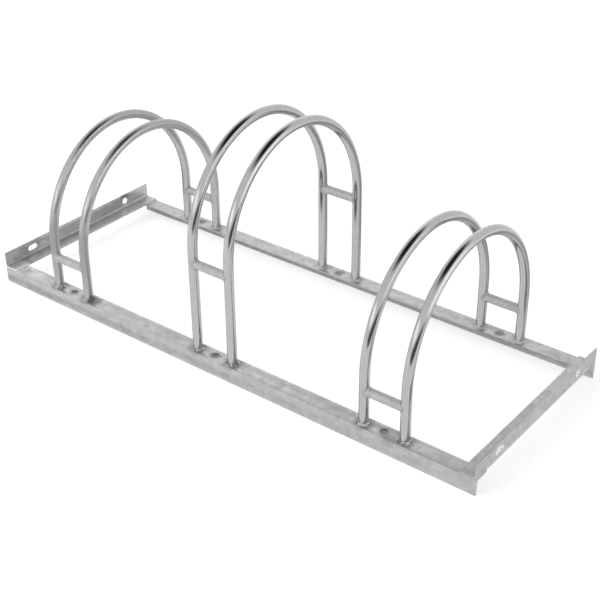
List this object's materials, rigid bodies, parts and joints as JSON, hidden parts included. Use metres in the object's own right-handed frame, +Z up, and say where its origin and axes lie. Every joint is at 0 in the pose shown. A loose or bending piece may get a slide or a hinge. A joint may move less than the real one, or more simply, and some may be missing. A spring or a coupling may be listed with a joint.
{
  "type": "bike parking stand",
  "caption": "Low floor stand for parking bicycles: paired tube hoops, some low and some high, on a frame of steel angle, each pair tied by rungs that the wheel rests on.",
  "frame": {"origin": "on the floor, under the middle of the frame's bounding box", "axes": "+X along the rails to the right end, +Y to the back, +Z up; the front faces -Y"},
  "size_m": [1.05, 0.385, 0.4116],
  "materials": {
    "galvanised_angle": "hot-dip galvanised, dull with faint spangle",
    "galvanised_tube": "hot-dip galvanised, smoother and brighter on the tube",
    "galvanised_rod": "hot-dip galvanised, satin",
    "galvanised_weld": "weld bead under zinc, rough and darker"
  },
  "bodies": {
    "root": {"front_rail": "galvanised_angle", "back_rail": "galvanised_angle", "left_end_angle": "galvanised_angle", "right_end_angle": "galvanised_angle", "left_bay_left_hoop": "galvanised_tube", "left_bay_right_hoop": "galvanised_tube", "left_bay_front_rung": "galvanised_rod", "left_bay_back_rung": "galvanised_rod", "middle_bay_left_hoop": "galvanised_tube", "middle_bay_right_hoop": "galvanised_tube", "middle_bay_front_rung": "galvanised_rod", "middle_bay_back_rung": "galvanised_rod", "right_bay_left_hoop": "galvanised_tube", "right_bay_right_hoop": "galvanised_tube", "right_bay_front_rung": "galvanised_rod", "right_bay_back_rung": "galvanised_rod", "left_bay_left_hoop_front_weld": "galvanised_weld", "left_bay_left_hoop_back_weld": "galvanised_weld", "left_bay_right_hoop_front_weld": "galvanised_weld", "left_bay_right_hoop_back_weld": "galvanised_weld", "left_bay_front_rung_left_weld": "galvanised_weld", "left_bay_front_rung_right_weld": "galvanised_weld", "left_bay_back_rung_left_weld": "galvanised_weld", "left_bay_back_rung_right_weld": "galvanised_weld", "middle_bay_left_hoop_front_weld": "galvanised_weld", "middle_bay_left_hoop_back_weld": "galvanised_weld", "middle_bay_right_hoop_front_weld": "galvanised_weld", "middle_bay_right_hoop_back_weld": "galvanised_weld", "middle_bay_front_rung_left_weld": "galvanised_weld", "middle_bay_front_rung_right_weld": "galvanised_weld", "middle_bay_back_rung_left_weld": "galvanised_weld", "middle_bay_back_rung_right_weld": "galvanised_weld", "right_bay_left_hoop_front_weld": "galvanised_weld", "right_bay_left_hoop_back_weld": "galvanised_weld", "right_bay_right_hoop_front_weld": "galvanised_weld", "right_bay_right_hoop_back_weld": "galvanised_weld", "right_bay_front_rung_left_weld": "galvanised_weld", "right_bay_front_rung_right_weld": "galvanised_weld", "right_bay_back_rung_left_weld": "galvanised_weld", "right_bay_back_rung_right_weld": "galvanised_weld", "front_left_corner_weld": "galvanised_weld", "front_right_corner_weld": "galvanised_weld", "back_left_corner_weld": "galvanised_weld", "back_right_corner_weld": "galvanised_weld"}
  },
  "joints": []
}
